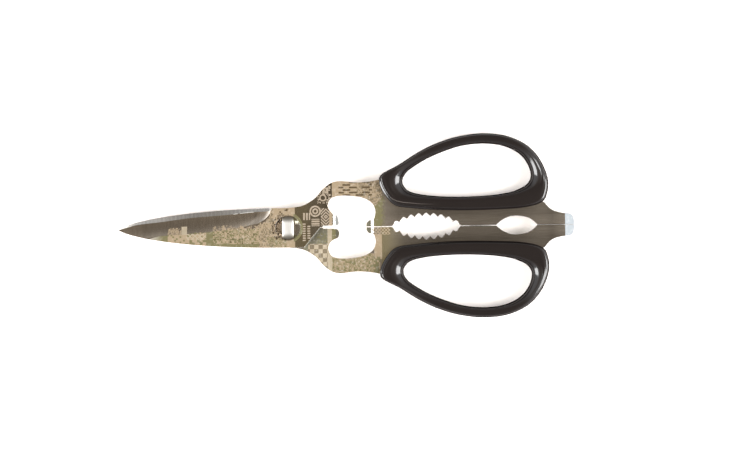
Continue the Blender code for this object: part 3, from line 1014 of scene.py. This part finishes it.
def paint_upper_arm(coat, x, y):
    """The front half's arm: sand with rows of dashes, up to a ragged olive edge at the grip."""
    sand = x.within(20.0, 43.0) * x.below(y.curve(ARM_LIMIT)) * y.above(8.5)
    ragged = x + chance(x.cell(0.25), y.cell(0.25), 43.0) * 2.4
    coat.paint(x.above(38.8) * ragged.below(44.2) * y.within(0, 14), OLIVE)
    coat.paint(box(x, y, *UPPER_NUB_FIELD), SAND)
    coat.paint(box(x, y, *UPPER_LIP), LIP_GREY)
    coat.paint(sand, SAND)
    coat.paint(sand * x.above(31.0) * flecks(x, y, 1.0, 0.15, 41.0), DARK_SAND)
    coat.paint(sand * x.within(23.0, 38.0) * y.above(13.8) * dashes(x, y, 5.9, 1.15), UMBER)


def paint_lower_arm(coat, x, y):
    """The back half, from its neck to the grip."""
    crossing = x - y * CROSSING_LEAN
    beyond = crossing.above(CROSSING_X) * y.below(0)
    coat.paint(beyond * x.within(42, 60) * (x * -1).rise(-56, -42), OLIVE_STEEL, 0.1)
    coat.paint(beyond * x.below(18.2), GREY_GREEN)
    coat.paint(beyond * box(x, y, *LOWER_NECK_FLECKS) * flecks(x, y, 0.8, 0.2, 51.0), OLIVE)
    board = beyond * box(x, y, *CHECKERBOARD)
    coat.paint(board, DARK_SAND)
    coat.paint(board * checkers(x, y, 1.95), PALE_SAND)
    coat.paint(box(x, y, *LOWER_NUB_EDGE), PALE_SAND)
    coat.paint(box(x, y, *LOWER_ARM_FIELD), OLIVE)
    coat.paint(box(x, y, *LOWER_ARM_FIELD) * flecks(x, y, 0.95, 0.5, 53.0), SAND)
    coat.paint(box(x, y, *LOWER_NUB_FIELD), OLIVE)
    coat.paint(box(x, y, *LOWER_LIP), GREY_GREEN, 0.5)
    coat.paint(box(x, y, *LOWER_ARM_END), SAND)
    coat.paint(box(x, y, *LOWER_ARM_CORNER), OLIVE)
    coat.paint(box(x, y, *LOWER_ARM_CORNER) * crumbs(x, y, 0.8, 0.3, 54.0), SAND)
    coat.paint(box(x, y, *LOWER_LATTICE) * lattice(x, y, 1.5, 0.5), SAND)
    coat.paint(box(x, y, *END_NUB_FIELD), GREY_GREEN)
    # A pale line beside the crossing, where the edge catches the light.
    coat.paint(crossing.within(CROSSING_X, CROSSING_X + 0.47) * box(x, y, 7.0, 14.8, -9.0, 0.0), EDGE_LIGHT)


# How bright the bare steel is along X, from 0 to 1.
STEEL_TONE = [
    (-80, 0.5), (-72, 0.52), (-64, 0.36), (-58, 0.42), (-44, 0.45), (-30, 0.55), (-18, 0.68),
    (-7, 0.7), (40, 1.05), (44, 1.0), (50, 0.62), (56, 0.56), (66, 0.44), (85, 0.44),
    (98, 0.42), (106, 0.48), (113, 0.62), (116, 0.62), (119, 0.5), (122, 0.7), (125, 0.85),
]
# How much brighter the bevel is than that.
BEVEL_TONE = [(-80, 0.2), (-66, 0.24), (-58, 0.26), (-48, -0.05), (-42, -0.16), (-24, -0.2), (-7, -0.2)]
# Light glints on the crease between the grind and the bevel: (start, end) along X.
GLINTS = [(-75.5, -70.5), (-24.5, -22.6), (-21.5, -15.3)]
# The bare steel's darkest and lightest colours, on the flats and in the hollow grind.
DARK_STEEL = (0.25, 0.235, 0.215)
LIGHT_STEEL = (0.95, 0.92, 0.87)
DARK_HOLLOW = (0.25, 0.225, 0.19)
LIGHT_HOLLOW = (0.95, 0.87, 0.77)


def bare_steel(tree, x, y, above_crease, grain):
    """Steel with painted shade beside the grips, along the seam past the lens and by the plunge, painted
    light and shade across the serrations, a darker lower arm, and a warmer hollow grind.
    """
    arm = x.above(30.0)
    blade = x.below(BLADE_END_X)
    # Painted shade beside the grips, where they block the light; the lower arm is also a little darker.
    grip_shade = abs(y).rise(2.2, 6.2) * 0.2 + y.below(0.0) * 0.12
    # Painted shade along the seam between the halves, past the lens opening.
    seam_shade = abs(y).below(0.35) * x.above(LENS[-1][0]) * 0.25
    # Painted shade by the plunge's lower part.
    plunge_shade = x.rise(-18.0, -13.0) * (y * -1).rise(-10.0, -5.0) * (arm * -1 + 1) * 0.16
    # Painted light and shade across each serration of the bevel.
    serration_shading = abs(x.along_cell(SERRATION_PITCH)) * 0.2 - 0.05
    bevel = blade * above_crease.above(0.0) * (x.curve(BEVEL_TONE) + serration_shading)
    tone = x.curve(STEEL_TONE) - grip_shade * arm - seam_shade - plunge_shade + bevel + grain * 0.3 - 0.15
    hollow = blade * above_crease.below(0.0)
    dark = mix(tree, hollow, DARK_STEEL, DARK_HOLLOW)
    light = mix(tree, hollow, LIGHT_STEEL, LIGHT_HOLLOW)
    return mix(tree, tone, dark, light)


def steel_material():
    """Brushed steel, ground blades, and the print on the faces that look up."""
    made, tree, shader, (x, y, z), up = new_material("etched_steel")
    brushed = noise(x * 0.12, y * 5, z * 5)
    ground = noise(x * 3.2, y * 0.12, z * 0.5)
    blade = x.below(BLADE_END_X) * abs(z).below(BLADE_HIGH - 0.04)
    grain = blend(blade, brushed, ground)
    above_crease = y - x.curve(BEVEL_START)
    bare = bare_steel(tree, x, y, above_crease, grain)
    coat = Coat(tree, bare, z.above(0.3))
    # Painted sheen: the chisel's bevel is painted a pale cool grey that stands in for its bright reflection.
    coat.paint(x.above(CHISEL_X), CHISEL_SHEEN)
    for start, end in GLINTS:
        coat.paint(abs(above_crease).below(0.13) * x.within(start, end), CREASE_LIGHT)
    paint_blade(coat, x, y)
    paint_pivot(coat, x, y)
    paint_neck(coat, x, y)
    paint_upper_arm(coat, x, y)
    # The last two also reach the back blade's upper face, which lies just below z = 0.
    coat.area = z.above(-0.2)
    paint_stud_marks(coat, x, y)
    paint_lower_arm(coat, x, y)
    visible = up.above(0.55)
    worn = noise(x * 0.9, y * 0.9, z * 0.9, 6.0).rise(0.25, 0.5) * 0.12 + 0.88
    printed = coat.printed * visible
    feed(tree, shader.inputs["Base Color"], mix(tree, visible * worn, bare, coat.colour))
    feed(tree, shader.inputs["Metallic"], printed * -0.85 + 1)
    feed(tree, shader.inputs["Specular IOR Level"], printed * -0.35 + 0.5)
    feed(tree, shader.inputs["Roughness"], blend(printed, grain * 0.1 + 0.15, 0.6))
    bump(tree, shader, grain, 0.012)
    return made


STUD_GREY = (0.76, 0.75, 0.72)
STUD_BRIGHT = (0.95, 0.94, 0.91)
# Painted shade for the head's ends and for the post below it.
STUD_END_SHADE = (0.2, 0.18, 0.15)
STUD_POST_SHADE = (0.2, 0.17, 0.13)


def stud_material():
    """Polished steel: bright in the middle of the head, with painted shade darkening its ends and the post.
    """
    made, tree, shader, (x, y, z), _ = new_material("stud_steel")
    grain = noise(x * 4, y * 0.3, z * 4)
    polished = mix(tree, grain, STUD_GREY, STUD_BRIGHT)
    # Painted shade: the head darkens towards its ends, and the post below the head is dark.
    head = mix(tree, abs(y).rise(1.8, 4.4), polished, STUD_END_SHADE)
    feed(tree, shader.inputs["Base Color"], mix(tree, z.above(1.5), STUD_POST_SHADE, head))
    shader.inputs["Metallic"].default_value = 0.93
    feed(tree, shader.inputs["Roughness"], grain * 0.2 + 0.3)
    bump(tree, shader, grain, 0.01)
    return made


# Where the painted highlight runs along the upper grip's edge, and its colour.
GRIP_HIGHLIGHT_LINE = [(46.3, 13.2), (47.3, 12.4), (49, 11.5), (52, 10.8), (60, 10.0), (72, 9.6)]
GRIP_HIGHLIGHT_BLACK = (0.06, 0.052, 0.047)
BLACK = (0.008, 0.0062, 0.0058)
PALE_BLACK = (0.0105, 0.0082, 0.0078)


def plastic_material():
    """Black moulded plastic: glossy, with a fine grain and slight sink marks."""
    made, tree, shader, (x, y, z), up = new_material("grip_plastic")
    fine = noise(x * 3, y * 3, z * 3, 6.0)
    broad = noise(x * 0.11, y * 0.11, z * 0.11)
    # A painted highlight line along the upper grip's edge, brightest at its front end.
    line = abs(y - x.curve(GRIP_HIGHLIGHT_LINE)).below(0.18) * x.above(46.4) * z.above(3.0)
    painted_highlight = line * (x * -1).rise(-70.0, -50.0)
    plastic = mix(tree, fine, BLACK, PALE_BLACK)
    feed(tree, shader.inputs["Base Color"], mix(tree, painted_highlight, plastic, GRIP_HIGHLIGHT_BLACK))
    # The steep walls reflect less than the top.
    feed(tree, shader.inputs["Specular IOR Level"], abs(up).rise(0.35, 0.8) * 0.5)
    feed(tree, shader.inputs["Roughness"], fine * 0.06 + broad * 0.08 + 0.08)
    bump(tree, shader, fine * 0.005 + broad, 0.05)
    return made


# ---------------------------------------------------------------- stage


FLOOR_DARK = (0.90, 0.86, 0.83)
FLOOR_LIGHT = (0.92, 0.88, 0.85)
FLOOR_GLOW = (1.0, 0.95, 0.9, 1)
# Sky brightness by height: 0 is the horizon and 1 is overhead.
SKY = [(0, 0.6), (0.3, 0.6), (0.6, 0.55), (0.75, 0.45), (0.85, 0.16), (0.94, 0.15), (1, 0.18)]
SKY_LOW = (1.0, 1.0, 1.0)
SKY_HIGH = (1.1, 0.9, 0.68)
SKY_SIDES = (0.96, 1.0, 1.04)
SOFTBOX_SIZE = (0.5, 0.7)
SOFTBOX_POWER = 17


def floor_material():
    made, tree, shader, (x, y, z), _ = new_material("floor_paper")
    grain = noise(x * 0.8, y * 0.8, z, 5.0)
    feed(tree, shader.inputs["Base Color"], mix(tree, grain, FLOOR_DARK, FLOOR_LIGHT))
    shader.inputs["Roughness"].default_value = 0.85
    # A faint glow keeps the shadows pale.
    shader.inputs["Emission Color"].default_value = FLOOR_GLOW
    shader.inputs["Emission Strength"].default_value = 0.12
    return made


def pale_floor():
    shape = bmesh.new()
    bmesh.ops.create_grid(shape, x_segments=2, y_segments=2, size=3.0)
    mesh = bpy.data.meshes.new("floor")
    shape.to_mesh(mesh)
    shape.free()
    floor = mesh_object("floor", mesh)
    floor.data.materials.append(floor_material())


def studio_world():
    """A pale studio: bright low down and at the two ends, dim and warm overhead."""
    world = bpy.data.worlds.new("studio")
    bpy.context.scene.world = world
    world.use_nodes = True
    tree = world.node_tree
    coordinates = tree.nodes.new("ShaderNodeTexCoord")
    x, y, z = split(tree, coordinates.outputs["Generated"])
    sides = abs(x).rise(0.14, 0.55) * (abs(y) * -1).rise(-0.8, -0.45)
    height = z.curve(SKY)
    warm = mix(tree, z.rise(0.6, 0.95), SKY_LOW, SKY_HIGH)
    colour = mix(tree, sides * 0.6, warm, SKY_SIDES)
    feed(tree, tree.nodes["Background"].inputs["Color"], colour)
    feed(tree, tree.nodes["Background"].inputs["Strength"], height + sides * 0.8)


def softbox(name, place):
    """A rectangular light that faces the frame's origin."""
    light = bpy.data.lights.new(name, "AREA")
    light.shape = "RECTANGLE"
    light.size, light.size_y = SOFTBOX_SIZE
    light.energy = SOFTBOX_POWER
    obj = bpy.data.objects.new(name, light)
    bpy.context.scene.collection.objects.link(obj)
    obj.location = place
    obj.rotation_euler = (-Vector(place)).to_track_quat("-Z", "Y").to_euler()


def camera():
    data = bpy.data.cameras.new("camera")
    data.sensor_width = SENSOR_WIDTH
    data.lens = SENSOR_WIDTH * CAMERA_DISTANCE / (VIEW_WIDTH * MM)
    obj = bpy.data.objects.new("camera", data)
    bpy.context.scene.collection.objects.link(obj)
    obj.location = PIVOT + Vector((VIEW_CENTRE[0] * MM, VIEW_CENTRE[1] * MM, CAMERA_DISTANCE))
    obj.rotation_euler.z = VIEW_TURN
    bpy.context.scene.camera = obj


# ---------------------------------------------------------------- assembly


def place_piece(obj, body, node, material):
    obj.location = PIVOT
    obj.data.materials.clear()
    obj.data.materials.append(material)
    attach(obj, body)
    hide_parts(node)


def main():
    bpy.context.scene.view_settings.view_transform = "Standard"
    steel, polish, plastic = steel_material(), stud_material(), plastic_material()
    place_piece(front_half(), "front", "front_half", steel)
    place_piece(back_half(), "back", "back_half", steel)
    place_piece(pivot_stud(), "back", "pivot_stud", polish)
    place_piece(grip("upper_grip_shell", 0), "front", "upper_grip", plastic)
    place_piece(grip("lower_grip_shell", math.pi), "back", "lower_grip", plastic)
    pale_floor()
    studio_world()
    softbox("left_softbox", (-0.75, -0.23, 0.45))
    softbox("right_softbox", (0.75, -0.13, 0.45))
    camera()


main()
